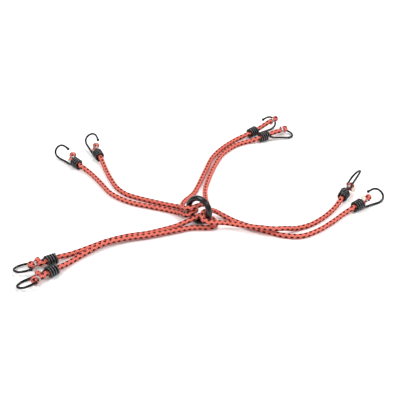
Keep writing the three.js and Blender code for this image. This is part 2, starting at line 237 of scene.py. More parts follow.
lines = {cord: smooth_line(points, LINE_STEPS) for cord, points in ROUTES.items()}
for cord, line in lines.items():
    print("cord", cord, "is", round(lengths_along(line)[-1] / MM), "mm from fold to fold")

# %% [markdown]
# ## The folds at the ends
# Outside its hook's coil the cord turns back on itself, so that it can't slip out. A steel band holds
# the two thicknesses together a little before the fold, and the cut end stands out beyond the band.
# Each fold has three axes: out of the cord, across to the side where the cut end lies, and square to
# both. CUT_ENDS says where the middle of each cut face is.

# %% The axes of each fold
CUT_ENDS = {
    "a1": (-0.1903, 0.1420, 0.0066), "a2": (-0.1582, 0.1690, 0.0071),
    "b1": (0.1135, 0.2455, 0.0105), "b2": (0.1280, 0.2280, 0.0113),
    "c1": (0.2190, 0.0602, 0.0127), "c2": (0.2284, 0.0342, 0.0158),
    "d1": (-0.2006, -0.0882, 0.0108), "d2": (-0.1970, -0.1144, 0.0125),
}
ENDS = sorted(CUT_ENDS)
NECK_BACK = 4.4 * MM
NECK_SHIFT = 1.2 * MM


def fold_axes(end):
    """The middle of the fold at this end, its three axes, its cut end, and the middle of its band."""
    line = lines[end[0]] if end[1] == "1" else lines[end[0]][::-1]
    middle = line[0]
    out = unit(line[0] - line[1])
    cut = np.array(CUT_ENDS[end])
    side = unit(cut - middle - out * np.dot(cut - middle, out))
    neck = middle - out * NECK_BACK + side * NECK_SHIFT
    return {"middle": middle, "out": out, "side": side, "third": np.cross(out, side),
            "cut": cut, "neck": neck}


folds = {end: fold_axes(end) for end in ENDS}
for end, fold in folds.items():
    print("fold", end, "is", round(fold["middle"][2] / MM, 1), "mm above the surface")

# %% [markdown]
# ## Braided cord
# The sheath of the cord is braided polyester. Eight flat strands wind one way and eight the other, and
# each passes over and under the ones it meets, so the surface is a net of small diamonds. Each strand
# could be a ribbon of its own, but most of it would never show. So the cord is one tube, whose radius
# rises and falls with the net at its true height, because that shows along the outline. The fine
# threads are finer than a mesh should be, and they are left to the material.
#
# STRANDS counts the strands that wind one way, and BRAID_PITCH is how far along the cord one diamond
# reaches. The photograph shows black flecks every 7.4 mm in four rows, and two diamonds lie between
# one fleck and the next.

# %% The relief of the braid
STRANDS = 8
BRAID_PITCH = 3.7 * MM
BRAID_HEIGHT = 0.32 * MM
ROUND_STEPS = 48
CORD_STEP = 0.7 * MM
# Powers below 1 flatten the back of a strand, more lengthwise than across.
FLATTEN_ACROSS = 0.7
FLATTEN_LENGTHWISE = 0.5


def braid_relief(around, along):
    """How high the braid stands at a share of the way round and a length along, from 0 to 1."""
    p = STRANDS * around + along / BRAID_PITCH
    q = STRANDS * around - along / BRAID_PITCH
    over = (np.floor(p) + np.floor(q)) % 2 == 0
    across = np.where(over, p, q) % 1
    lengthwise = np.where(over, q, p) % 1
    rise = np.sin(np.pi * across) ** FLATTEN_ACROSS
    return rise * np.sin(np.pi * lengthwise) ** FLATTEN_LENGTHWISE


def braided_rings(middles, along, sides, highs, wide, thick):
    """Rings of a braided cord: half as wide and thick as given, along the two directions given."""
    around = np.arange(ROUND_STEPS) / ROUND_STEPS
    turn = 2 * np.pi * around
    relief = BRAID_HEIGHT * (braid_relief(around[None, :], along[:, None]) - 1)
    across = (wide[:, None] + relief) * np.cos(turn)
    upward = (thick[:, None] + relief) * np.sin(turn)
    return middles[:, None] + across[..., None] * sides[:, None] + upward[..., None] * highs[:, None]


strand_width = 1 / math.hypot(STRANDS / (2 * math.pi * CORD_RADIUS), 1 / BRAID_PITCH)
print("each strand is", round(strand_width / MM, 1), "mm wide")

# %% [markdown]
# The cord is flattened a little where it touches the surface. Where the band holds it, it is squeezed
# to about half its width and two thirds of its thickness, and shifted to make room for the part that
# comes back. The squeeze fades in over a few millimetres, with a slight bulge before it, as in elastic.

# %% Build the four cords
SQUEEZE_LENGTH = 4.5 * MM
SQUEEZED_WIDE = 0.47
SQUEEZED_THICK = 0.67
SQUEEZE_SHIFT = 0.5 * MM
NEAR_BAND = 3 * SQUEEZE_LENGTH
NEAR_FOLD = 3 * NECK_BACK
BULGE = 0.05
# The strands stand a little outside CORD_RADIUS, and the hollows between them lie inside it.
CORD_OUTER = 3.52 * MM
SURFACE_CLEARANCE = 0.02 * MM


def fade(share):
    """A smooth step from 0 to 1."""
    share = np.clip(share, 0, 1)
    return share * share * (3 - 2 * share)


def squeeze(rings, middles, fold):
    """Narrows the rings towards the fold's band, and shifts them to make room for the second run."""
    back = np.maximum(0, -(middles - fold["middle"]) @ fold["out"] - NECK_BACK)
    near = np.linalg.norm(middles - fold["neck"], axis=1) < NEAR_BAND
    amount = np.where(near, fade(1 - back / SQUEEZE_LENGTH), 0)
    bulge = np.where(near, BULGE * np.sin(np.pi * np.clip(back / (2 * SQUEEZE_LENGTH), 0, 1)), 0)
    offsets = rings - middles[:, None]
    for axis, share in ((fold["side"], SQUEEZED_WIDE), (fold["third"], SQUEEZED_THICK)):
        part = offsets @ axis
        offsets = offsets - (part * (amount * (1 - share) - bulge)[:, None])[..., None] * axis
    return middles[:, None] + offsets - (amount * SQUEEZE_SHIFT)[:, None, None] * fold["side"]


def between_bands(cord):
    """The cord's line from the middle of its first band to the middle of its last."""
    line = lines[cord]
    for end in (cord + "1", cord + "2"):
        fold = folds[end]
        back = -(line - fold["middle"]) @ fold["out"]
        near = np.linalg.norm(line - fold["middle"], axis=1) < NEAR_FOLD
        line = line[~(near & (back < NECK_BACK))]
    return even_steps(line, CORD_STEP)


def build_cord(cord):
    """The braided tube of one cord between its two bands, and its line."""
    middles, along = between_bands(cord)
    tangents = unit(np.gradient(middles, axis=0))
    sides = unit(np.cross(UP, tangents))
    highs = np.cross(tangents, sides)
    radius = np.full(len(middles), CORD_OUTER)
    rings = braided_rings(middles, along, sides, highs, radius, radius)
    for end in (cord + "1", cord + "2"):
        rings = squeeze(rings, middles, folds[end])
    rings[..., 2] = np.maximum(rings[..., 2], SURFACE_CLEARANCE)
    return tube(f"cord_{cord}_braid", rings, along), middles


cords = {}
cord_lines = {}
for cord in ROUTES:
    cords[cord], cord_lines[cord] = build_cord(cord)
    print(cords[cord].name, "has", len(cords[cord].data.polygons), "faces")

# %% [markdown]
# Each fold is the same cord, bent hard. It could be the last part of the cord's own tube, but so tight
# a bend needs other widths from point to point, so it is a piece of its own. Its line in the plane of
# the fold is drawn as points, first out along the main run and then back on the side of the cut end.
# The cord is thin where the band squeezes it, and full where it bunches up at the turn.

# %% Build the eight folds
# One row for each point: how far out, how far across, half as wide, half as thick, in millimetres.
FOLD_ROWS = [
    (-4.4, -0.5, 1.65, 2.35),
    (-3.3, -0.6, 1.8, 2.5),
    (-2.3, -0.8, 2.7, 3.4),
    (-0.4, -0.9, 3.4, 4.0),
    (1.7, 0.6, 3.6, 4.3),
    (1.8, 2.8, 3.6, 4.3),
    (0.0, 3.9, 3.1, 3.8),
    (-2.2, 3.5, 2.5, 3.2),
    (-3.3, 3.0, 1.8, 2.5),
    (-4.4, 2.9, 1.65, 2.35),
]
# The cut end swells from the band to STUB_HALF within STUB_GROWTH, or within STUB_SHARE of its way
# where it is short, and frays to CUT_HALF at its face. These are in millimetres too.
STUB_HALF = (3.5, 3.6)
CUT_HALF = (3.85, 3.9)
STUB_GROWTH = 2.6
STUB_SHARE = 0.6
FOLD_STEP = 0.35 * MM
RIM_ROUNDING = 0.5 * MM


def fold_rows(fold):
    """The rows of one fold, with the cut end's own rows after the band."""
    cut = fold["cut"] - fold["middle"]
    last = np.array([cut @ fold["out"], cut @ fold["side"]]) / MM
    band = np.array(FOLD_ROWS[-1][:2])
    reach = np.linalg.norm(last - band)
    rows = list(FOLD_ROWS)
    swell = min(STUB_GROWTH, reach * STUB_SHARE)
    rows.append((*(band + (last - band) * swell / reach), *STUB_HALF))
    rows.append((*last, *CUT_HALF))
    return rows


def build_fold(end):
    """The bent cord beyond the band, with its rounded cut end."""
    fold = folds[end]
    rows = np.array(fold_rows(fold)) * MM
    line = smooth_line(rows[:, [0, 1, 1]] * (1, 1, 0), LINE_STEPS)
    steps = lengths_along(line)
    at_rows = steps[::LINE_STEPS]
    flat, along = even_steps(line, FOLD_STEP)
    wide = np.interp(along, at_rows, rows[:, 2])
    thick = np.interp(along, at_rows, rows[:, 3])
    left = np.clip((along[-1] - along) / RIM_ROUNDING, 0, 1)
    rim = RIM_ROUNDING * (1 - np.sqrt(1 - (1 - left) ** 2))
    tangents = unit(np.gradient(flat, axis=0))
    axes = np.stack([fold["out"], fold["side"], fold["third"]])
    middles = fold["middle"] + flat @ axes
    sides = np.cross(tangents, (0, 0, 1)) @ axes
    highs = np.broadcast_to(fold["third"], middles.shape)
    rings = braided_rings(middles, along, sides, highs, wide - rim, thick - rim)
    rings[..., 2] = np.maximum(rings[..., 2], SURFACE_CLEARANCE)
    return tube(f"fold_{end}", rings, along)


fold_pieces = {end: build_fold(end) for end in ENDS}
print(len(fold_pieces), "folds are built")

# %% [markdown]
# ## Steel bands
# A band is a short strip of zinc-plated steel, bent round both thicknesses of cord and pressed flat, so
# it is an oval. Its two ends meet on one long side. A short oval tube would be quicker, but its edges
# would be sharp and it would have no gap. So it is a section with rounded corners, swept round the
# oval from one end of the strip to the other.

# %% Build the eight bands
# Half the oval's width and thickness, and then half the strip's.
BAND_WIDE = 4.15 * MM
BAND_THICK = 3.15 * MM
BAND_HALF_WIDTH = 1.13 * MM
BAND_HALF_THICKNESS = 0.4 * MM
BAND_STEPS = 72
BAND_SECTION_STEPS = 16
# Half the gap where the strip's ends meet, in radians.
BAND_GAP_ANGLE = 0.05
# A lower power makes the strip's corners squarer.
SQUARE_POWER = 0.45


def rounded_box(steps, half_wide, half_high, power):
    """The outline of a box with rounded corners, as pairs of distances."""
    turn = 2 * np.pi * np.arange(steps) / steps
    x = np.sign(np.cos(turn)) * np.abs(np.cos(turn)) ** power
    y = np.sign(np.sin(turn)) * np.abs(np.sin(turn)) ** power
    return np.stack([half_wide * x, half_high * y], axis=1)


def build_band(end):
    """The pressed oval strip round one neck."""
    fold = folds[end]
    turn = math.pi / 2 + np.linspace(BAND_GAP_ANGLE, 2 * math.pi - BAND_GAP_ANGLE, BAND_STEPS)
    axes = np.stack([fold["side"], fold["third"], fold["out"]])
    oval = np.stack([BAND_WIDE * np.cos(turn), BAND_THICK * np.sin(turn), 0 * turn], axis=1)
    outward = unit(np.stack([np.cos(turn) / BAND_WIDE, np.sin(turn) / BAND_THICK, 0 * turn], axis=1))
    section = rounded_box(BAND_SECTION_STEPS, BAND_HALF_THICKNESS, BAND_HALF_WIDTH, SQUARE_POWER)
    rings = oval[:, None] + section[None, :, :1] * outward[:, None]
    rings[..., 2] += section[None, :, 1]
    rings = fold["neck"] + rings @ axes
    return tube(f"band_{end}_steel", rings, lengths_along(oval))


bands = {end: build_band(end) for end in ENDS}
print(len(bands), "bands are built")

# %% [markdown]
# ## Wire hooks
# Each hook is one length of steel wire, 3.1 mm thick with its coating. A little over four turns are
# wound round the cord as a coil that widens a little. Then the wire leaves in a straight shank, a wide
# bend, and a tip that turns back in and ends in a small bead. The wire was dipped, so its coating is
# smooth and its ends are round. A screw modifier could wind the coil, but the bow would have to be
# joined to it. So one line is worked out for the whole wire: the coil's points come from its turns and
# radii, and the bow's from one list for all hooks.

# %% The line of each hook
WIRE_RADIUS = 1.53 * MM
TIP_RADIUS = 2.2 * MM
COIL_TURNS = 4.1
COIL_POINTS = 41
COIL_MOUTH_RADIUS = 5.7 * MM
COIL_END_RADIUS = 6.3 * MM
# The coil's points stop this far, in radians, before the place where the shank begins.
COIL_LEAD_OUT = 0.38

# The bow: how far along from the end of the coil and how far across, in millimetres.
BOW = [
    (4.5, 0), (17.0, 0), (28.5, 0), (34.4, 1.7), (37.9, 5.0), (38.6, 9.5),
    (36.8, 14.4), (32.6, 18.4), (27.2, 20.0), (21.6, 19.8), (16.8, 18.8),
]
# How far each hook has rolled round its cord from standing upright, how far its shank leans out from
# the coil's axis, and how far it tilts sideways, in degrees.
HOOK_TURNS = {
    "a1": (-32, 2, -3), "a2": (-49, -4, -6), "b1": (23, 4, 2), "b2": (82, 22, -7),
    "c1": (143, 23, 6), "c2": (43, 8, 1), "d1": (75, 24, -2), "d2": (71, 17, -5),
}
# Where the coil begins and ends in a cord's list of points, counted from the fold at that end.
COIL_FIRST = {"a1": 2, "a2": 2, "b1": 3, "b2": 3, "c1": 2, "c2": 2, "d1": 2, "d2": 2}


def hook_line(end):
    """The points of one hook's wire, and the two ends of its coil's axis."""
    points = ROUTES[end[0]] if end[1] == "1" else ROUTES[end[0]][::-1]
    start = COIL_FIRST[end]
    far, mouth = np.array(points[start]), np.array(points[start + 2])
    axis = unit(far - mouth)
    side = unit(np.cross(UP, axis))
    high = np.cross(axis, side)
    roll, lean, tilt = (math.radians(angle) for angle in HOOK_TURNS[end])
    across = math.cos(roll) * high + math.sin(roll) * side
    third = np.cross(axis, across)
    share = np.arange(COIL_POINTS + 1)[:, None] / COIL_POINTS
    radius = COIL_MOUTH_RADIUS + (COIL_END_RADIUS - COIL_MOUTH_RADIUS) * share
    angle = math.pi - COIL_LEAD_OUT - 2 * math.pi * COIL_TURNS * (1 - share)
    coil = mouth + (far - mouth) * share
    coil = coil + radius * (np.cos(angle) * across + np.sin(angle) * third)
    ahead = math.cos(tilt) * axis + math.sin(tilt) * third
    shank = math.cos(lean) * ahead - math.sin(lean) * across
    width = math.sin(lean) * ahead + math.cos(lean) * across
    root = far - across * COIL_END_RADIUS
    bow = np.array([root + (along * shank + wide * width) * MM for along, wide in BOW])
    return np.vstack([coil, bow]), mouth, far


wire_length = lengths_along(hook_line("a1")[0])[-1]
print("hook a1 takes about", round(wire_length / MM), "mm of wire")

# %% [markdown]
# The wire's ring of points is carried along the line and only turned as much as the line turns, so
# that it never twists. The start is rounded by small rings, and the tip swells into its bead.

# %% Build the eight hooks
WIRE_SIDES = 24
WIRE_STEP = 0.45 * MM
WIRE_LINE_STEPS = 10
# Close rings round the wire's ends off, down to SMALLEST_SHARE of its radius.
ROUND_END_STEPS = 7
SMALLEST_SHARE = 0.02
# The coating gathers before the bead, over BEAD_NECK, by BEAD_NECK_SHARE of the wire's radius.
BEAD_NECK = 1.2 * MM
BEAD_NECK_SHARE = 0.12
# A higher power gives a thinner painted highlight line.
HIGHLIGHT_LINE_POWER = 20


def carried_sides(tangents, first):
    """A direction square to the line at each point, which turns as little as it can."""
    sides = [unit(first - tangents[0] * (first @ tangents[0]))]
    for tangent in tangents[1:]:
        side = sides[-1]
        sides.append(unit(side - tangent * (side @ tangent)))
    return np.array(sides)


def wire_radii(along):
    """The radius at each length: a rounded start, plain wire, and a bead round the last point."""
    start = np.clip(along / WIRE_RADIUS, 0, 1)
    radii = WIRE_RADIUS * np.sqrt(1 - (1 - start) ** 2)
    to_middle = along - (along[-1] - TIP_RADIUS)
    ball = np.sqrt(np.maximum(0, TIP_RADIUS ** 2 - to_middle ** 2))
    wide = np.where(to_middle > 0, ball, np.maximum(ball, radii))
    blend = np.where(to_middle < 0, np.exp(-((to_middle + TIP_RADIUS) / BEAD_NECK) ** 2), 0)
    return np.maximum(wide + blend * BEAD_NECK_SHARE * WIRE_RADIUS, SMALLEST_SHARE * WIRE_RADIUS)


def painted_highlight_share(middles, spokes, mouth, far):
    """How bright the painted highlight is at each of the wire's points: only on the outside of the coil."""
    axis = far - mouth
    share = (middles - mouth) @ axis / (axis @ axis)
    outward = unit(middles - mouth - share[:, None] * axis)
    facing = np.clip(np.einsum("ijk,ik->ij", spokes, outward), 0, 1)
    return np.where(share[:, None] < 1, facing ** HIGHLIGHT_LINE_POWER, 0)


def build_hook(end):
    """One coated wire hook, with the outside of its coil marked for the painted highlight."""
    points, mouth, far = hook_line(end)
    line = smooth_line(points, WIRE_LINE_STEPS)
    tip = line[-1] + unit(line[-1] - line[-2]) * TIP_RADIUS
    line = np.vstack([line, tip])
    middles, along = even_steps(line, WIRE_STEP)
    ends = np.linspace(0, WIRE_RADIUS, ROUND_END_STEPS)[1:-1]
    places = np.unique(np.concatenate([along, ends, along[-1] - ends, along[-1] - TIP_RADIUS + ends]))
    middles = np.stack([np.interp(places, along, middles[:, i]) for i in range(3)], axis=1)
    tangents = unit(np.gradient(middles, axis=0))
    off_the_wire = UP + tangents[0][::-1]
    sides = carried_sides(tangents, off_the_wire)
    thirds = np.cross(tangents, sides)
    turn = 2 * np.pi * np.arange(WIRE_SIDES) / WIRE_SIDES
    spokes = np.cos(turn)[None, :, None] * sides[:, None] + np.sin(turn)[None, :, None] * thirds[:, None]
    rings = middles[:, None] + wire_radii(places)[:, None, None] * spokes
    rings[..., 2] = np.maximum(rings[..., 2], 0)
    hook = tube(f"hook_{end}_wire", rings, places)
    # The outside of each coil turn gets a painted highlight, stored as an attribute for the material.
    painted_highlight = hook.data.attributes.new("painted_highlight", "FLOAT", "POINT")
    painted_highlight.data.foreach_set("value", painted_highlight_share(middles, spokes, mouth, far).ravel())
    return hook


hooks = {end: build_hook(end) for end in ENDS}
print(len(hooks), "hooks are built")

# %% [markdown]
# ## The centre ring
# The ring is moulded plastic. Blender's torus would be close, but the section is not a plain circle:
# the outside has a narrow flat band, and on each side a low ridge runs round where the inner lining
# begins, a little set back. So that section is swept round the ring's line. The ring stands almost
# upright, held by the cords that pass through it, and touches the surface at the middle of the frame.

# %% Build the ring
RING_RADIUS = 16.4 * MM
RING_SECTION = 4.15 * MM
RING_LINING = 3.7 * MM
RING_TURN = math.radians(-36)
RING_TILT = math.radians(10)
RING_STEPS = 160
RING_SECTION_STEPS = 72
# The ring is sunk by FOOT_CUT and cut off level, which gives it a flat foot.
FOOT_CUT = 0.3 * MM
FLAT_BAND_AT = 3.85 * MM
# Places on the section are angles, from the outside of the ring.
RIDGE_PLACE = math.radians(102)
RIDGE_HEIGHT = 0.14 * MM
RIDGE_WIDTH = math.radians(5)
LINING_STEP = math.radians(4)


def ring_section():
    """The ring's section, as distances outward from the ring's line and along its axis."""
    turn = 2 * np.pi * np.arange(RING_SECTION_STEPS) / RING_SECTION_STEPS
    from_outside = np.minimum(turn, 2 * np.pi - turn)
    inner = 0.5 + 0.5 * np.tanh((from_outside - RIDGE_PLACE - RIDGE_WIDTH) / LINING_STEP)
    size = RING_SECTION + (RING_LINING - RING_SECTION) * inner
    size = size + RIDGE_HEIGHT * np.exp(-((from_outside - RIDGE_PLACE) / RIDGE_WIDTH) ** 2)
    outward = np.minimum(size * np.cos(turn), FLAT_BAND_AT)
    return np.stack([outward, size * np.sin(turn)], axis=1)


def build_ring():
    """The moulded ring, standing on its foot."""
    turn = 2 * np.pi * np.arange(RING_STEPS) / RING_STEPS
    normal = np.array([math.sin(RING_TURN) * math.cos(RING_TILT),
                       -math.cos(RING_TURN) * math.cos(RING_TILT), math.sin(RING_TILT)])
    level = np.array([math.cos(RING_TURN), math.sin(RING_TURN), 0])
    upward = np.cross(normal, level)
    middle = upward * RING_RADIUS
    middle[2] += RING_SECTION - FOOT_CUT
    outward = np.cos(turn)[:, None] * level + np.sin(turn)[:, None] * upward
    section = ring_section()
    reach = RING_RADIUS + section[:, 0]
    rings = middle + outward[:, None] * reach[None, :, None] + normal * section[None, :, 1:]
    rings[..., 2] = np.maximum(rings[..., 2], 0)
    return tube("centre_ring_moulded", rings, RING_RADIUS * turn, closed_round=True)


ring = build_ring()
print("the ring stands", round(max(v.co.z for v in ring.data.vertices) / MM, 1), "mm high")

# %% [markdown]
# ## Materials
# Every material is a Principled shader with procedural detail. Colours are written as sRGB hex, as a
# picture shows them, and turned into the linear values that Blender computes with. One small function
# adds a node, with its settings and links.
#
# The noise and cell patterns take Blender's default coordinates, which run from 0 to 1 over the box of
# their piece. Their scale is one over the size that is named for them, so they would have that size on
# a box one metre wide, and they come out finer here: about a fifth of it along a cord, a twentieth on a
# hook or the ring, and a hundredth on a band or a cut end. Object coordinates would draw them at their
# true size. What is drawn from the UV map, the braid and the rolled lines of the zinc, is true to size.


# %% Colours and nodes
def linear(hex_colour):
    """Linear red, green, blue and 1 from a hex colour such as 'ff8040'."""
    parts = [int(hex_colour[i:i + 2], 16) / 255 for i in (0, 2, 4)]
    return [p / 12.92 if p <= 0.04045 else ((p + 0.055) / 1.055) ** 2.4 for p in parts] + [1.0]


def fill(material, node, inputs):
    """Fills a node's inputs, each with a value or with a link from another node's output."""
    for key, value in inputs.items():
        if isinstance(value, bpy.types.NodeSocket):
            material.node_tree.links.new(value, node.inputs[key])
        else:
            node.inputs[key].default_value = value


def add(material, kind, inputs=None, stops=(), **settings):
    """Adds a node of this kind. Stops are the positions and hex colours of a colour ramp."""
    node = material.node_tree.nodes.new("ShaderNode" + kind)
    for name, value in settings.items():
        setattr(node, name, value)
    fill(material, node, inputs or {})
    for index, (position, colour) in enumerate(stops):
        node.color_ramp.elements[index].position = position
        node.color_ramp.elements[index].color = linear(colour)
    return node


def new_material(name):
    """A material with its Principled shader, ready for more nodes."""
    material = bpy.data.materials.new(name)
    material.use_nodes = True
    return material, material.node_tree.nodes["Principled BSDF"]


print("the grey 808080 is", round(linear("808080")[0], 3), "of white, as Blender computes with it")

# %% [markdown]
# ## Braided polyester
# The sheath is textured polyester yarn, dyed coral red, with a few black strands for the flecks. Yarn
# scatters light, so it is rough, with a soft sheen where the surface turns away. The hollows between
# strands are painted a deeper red: that is painted shade. A picture of a braid could be wrapped round
# the cord, but it would have to fit the mesh. Instead the material works out the same braid as the
# mesh, from the UV map: p and q number the strands that wind each way, and where their whole parts
# add up to an even number, the p strand is on top.
#
# A filament of the yarn is about 0.02 mm thick and a yarn about 0.1 mm, both too fine to show. So each
# strand is drawn with seven yarns of 0.3 mm, and the fuzz and wear of the yarn with spots of 1.1 mm.
# The dye took a little unevenly, over lengths of about 17 mm.

# %% The sums of the braid
YARNS = 7
BACK_SHARE = 0.8
YARN_SHARE = 0.08
WORN_SHARE = 0.2
DYE_SHARE = 0.3
# How large a fleck is drawn, in diamonds.
FLECK_SIZE = 1.6

# Each row becomes one Math node: a name for its result, its operation, and what goes in, which is the
# name of an earlier result or a number. To begin with, u is the share of the way round, v the length
# along, and worn and dye are two noise patterns.
BRAID_SUMS = [
    ("around", "MULTIPLY", "u", STRANDS),
    ("along", "MULTIPLY", "v", 1 / BRAID_PITCH),
    ("p", "ADD", "around", "along"),
    ("q", "SUBTRACT", "around", "along"),
    ("p_whole", "FLOOR", "p"),
    ("q_whole", "FLOOR", "q"),
    ("p_part", "SUBTRACT", "p", "p_whole"),
    ("q_part", "SUBTRACT", "q", "q_whole"),
    # 0 where the p strand is on top, and 1 where the q strand is.
    ("both", "ADD", "p_whole", "q_whole"),
    ("under", "FLOORED_MODULO", "both", 2.0),
    # Where the point lies on the strand that is on top: the share across it, and lengthwise.
    ("q_less_p", "SUBTRACT", "q_part", "p_part"),
    ("p_less_q", "SUBTRACT", "p_part", "q_part"),
    ("across", "MULTIPLY_ADD", "under", "q_less_p", "p_part"),
    ("lengthwise", "MULTIPLY_ADD", "under", "p_less_q", "q_part"),
    # The strand's rounded back.
    ("angle_across", "MULTIPLY", "across", math.pi),
    ("arch_across", "SINE", "angle_across"),
    ("angle_lengthwise", "MULTIPLY", "lengthwise", math.pi),
    ("sine_lengthwise", "SINE", "angle_lengthwise"),
    ("arch_lengthwise", "POWER", "sine_lengthwise", FLATTEN_LENGTHWISE),
    ("back", "MULTIPLY", "arch_across", "arch_lengthwise"),
    # Its yarns, side by side.
    ("yarn_angle", "MULTIPLY", "across", 2 * math.pi * YARNS),
    ("yarns", "SINE", "yarn_angle"),
    # The height is mostly the strand's back, with a little of the yarns and their wear.
    ("back_height", "MULTIPLY", "back", BACK_SHARE),
    ("yarn_height", "MULTIPLY", "yarns", YARN_SHARE),
    ("worn_height", "MULTIPLY", "worn", WORN_SHARE),
    ("fine_height", "ADD", "yarn_height", "worn_height"),
    ("height", "ADD", "back_height", "fine_height"),
    # A black strand comes up on one diamond in eight, in four rows round that are staggered along. Its
    # place is found on a lattice of those diamonds, and it is drawn a little larger, as it spreads.
    ("rows", "MULTIPLY", "u", STRANDS / 2),
    ("steps", "ADD", "along", 0.5),
    ("rows_and_steps", "ADD", "rows", "steps"),
    ("rows_less_steps", "SUBTRACT", "rows", "steps"),
    ("one_place", "MULTIPLY", "rows_and_steps", 0.5),
    ("other_place", "MULTIPLY", "rows_less_steps", 0.5),
    ("one_nearest", "ROUND", "one_place"),
    ("other_nearest", "ROUND", "other_place"),
    ("one_off", "SUBTRACT", "one_place", "one_nearest"),
    ("other_off", "SUBTRACT", "other_place", "other_nearest"),
    ("p_off", "MULTIPLY_ADD", "one_off", 3.0, "other_off"),
    ("q_off", "MULTIPLY_ADD", "other_off", 3.0, "one_off"),
    ("p_far", "ABSOLUTE", "p_off"),
    ("q_far", "ABSOLUTE", "q_off"),
    ("far", "MAXIMUM", "p_far", "q_far"),
    ("fleck", "LESS_THAN", "far", FLECK_SIZE / 2),
    ("light", "MULTIPLY", "dye", DYE_SHARE),
]
print("the braid takes", len(BRAID_SUMS), "sums")

# %% The polyester sheath
CORAL = "ef7262"
# Painted shade for the hollows between strands.
CORAL_PAINTED_SHADE = "7e0c09"
CORAL_LIGHT = "ffa898"
FLECK = "260306"
WORN_SIZE = 1.1 * MM
DYE_SIZE = 17 * MM


def polyester_braid():
    """Coral red braided polyester with black flecks, and painted shade in the hollows between strands."""
    m, shader = new_material("polyester_braid_coral")
    split = add(m, "SeparateXYZ", {0: add(m, "UVMap", uv_map="braid").outputs[0]})
    results = {
        "u": split.outputs[0],
        "v": split.outputs[1],
        "worn": add(m, "TexNoise", {"Scale": 1 / WORN_SIZE, "Detail": 3.0}).outputs[0],
        "dye": add(m, "TexNoise", {"Scale": 1 / DYE_SIZE, "Detail": 2.0}).outputs[0],
    }
    for name, operation, *values in BRAID_SUMS:
        inputs = {index: results.get(value, value) for index, value in enumerate(values)}
        results[name] = add(m, "Math", inputs, operation=operation).outputs[0]
    height = results["height"]
    # Painted shade: where the braid is low, in the hollows between strands, the red is deeper.
    hollow_shade = add(m, "ValToRGB", {0: height}, [(0.12, CORAL_PAINTED_SHADE), (0.62, CORAL)]).outputs[0]
    # A Mix node's inputs 6 and 7 are its two colours, and its output 2 is the mixed one.
    red = add(m, "Mix", {0: results["light"], 6: hollow_shade, 7: linear(CORAL_LIGHT)}, data_type="RGBA")
    flecked = {0: results["fleck"], 6: red.outputs[2], 7: linear(FLECK)}
    bump = add(m, "Bump", {"Height": height, "Strength": 0.6, "Distance": 0.25 * MM})
    fill(m, shader, {
        "Base Color": add(m, "Mix", flecked, data_type="RGBA").outputs[2],
        "Normal": bump.outputs[0],
        "Roughness": 0.72,
        "Sheen Weight": 0.03,
        "Sheen Roughness": 0.4,
        "IOR": 1.55,
        "Specular IOR Level": 0.15,
    })
    return m


BRAID = polyester_braid()
for piece in list(cords.values()) + list(fold_pieces.values()):
    piece.data.materials.append(BRAID)
print("the braid's diamonds are", round(BRAID_PITCH / MM, 1), "mm long")

# %% [markdown]
# ## Cut rubber
# A cut end shows what the sheath holds: many square threads of pale natural rubber, packed together.
# To the eye it is a dull cream face with a fine net of darker lines. The threads could be modelled, but
# at this size a Voronoi pattern does as well, with cells about 0.8 mm apart that are darker along their
# edges. The cut is the last face of each fold, so it only needs a material of its own.

# %% The cut ends
RUBBER = "fbf6ec"
RUBBER_SHADED = "e3d9c8"
THREAD_SIZE = 0.8 * MM


def natural_rubber_threads():
    """Pale rubber threads, cut across."""
    m, shader = new_material("natural_rubber_threads")
    cells = add(m, "TexVoronoi", {"Scale": 1 / THREAD_SIZE}, feature="DISTANCE_TO_EDGE")
    tone = add(m, "ValToRGB", {0: cells.outputs[0]}, [(0.0, RUBBER_SHADED), (0.25, RUBBER)])
    bump = add(m, "Bump", {"Height": cells.outputs[0], "Strength": 0.5, "Distance": 0.2 * MM})
    fill(m, shader, {
        "Base Color": tone.outputs[0],
        "Normal": bump.outputs[0],
        "Roughness": 0.6,
        "IOR": 1.52,
    })
    return m


RUBBER_THREADS = natural_rubber_threads()
for piece in fold_pieces.values():
    piece.data.materials.append(RUBBER_THREADS)
    piece.data.polygons[-1].material_index = 1
    piece.data.polygons[-1].use_smooth = False
print("the cut ends show", RUBBER_THREADS.name)

# %% [markdown]
# ## Dipped black coating
# The hooks are steel wire, dipped in a black coating that dries to a glossy skin, slightly uneven like
# orange peel, with bumps about 1.4 mm apart. To the eye it is an even black with small sharp lights,
# and a little duller in patches of about 8 mm. A thin grey line is painted on the outside of every
# turn of each coil, dimmer in patches: it is a painted highlight, for the light that the glossy turns
# catch. No pattern can know where the outside of a coil is, so the mesh carries that as an attribute,
# and the material reads it.

# %% The coated wire
COATING_DARK = "030304"
COATING_LIGHT = "0a0a0b"
COATING_PAINTED_HIGHLIGHT = "727275"
PEEL_SIZE = 1.4 * MM
WEAR_SIZE = 8 * MM


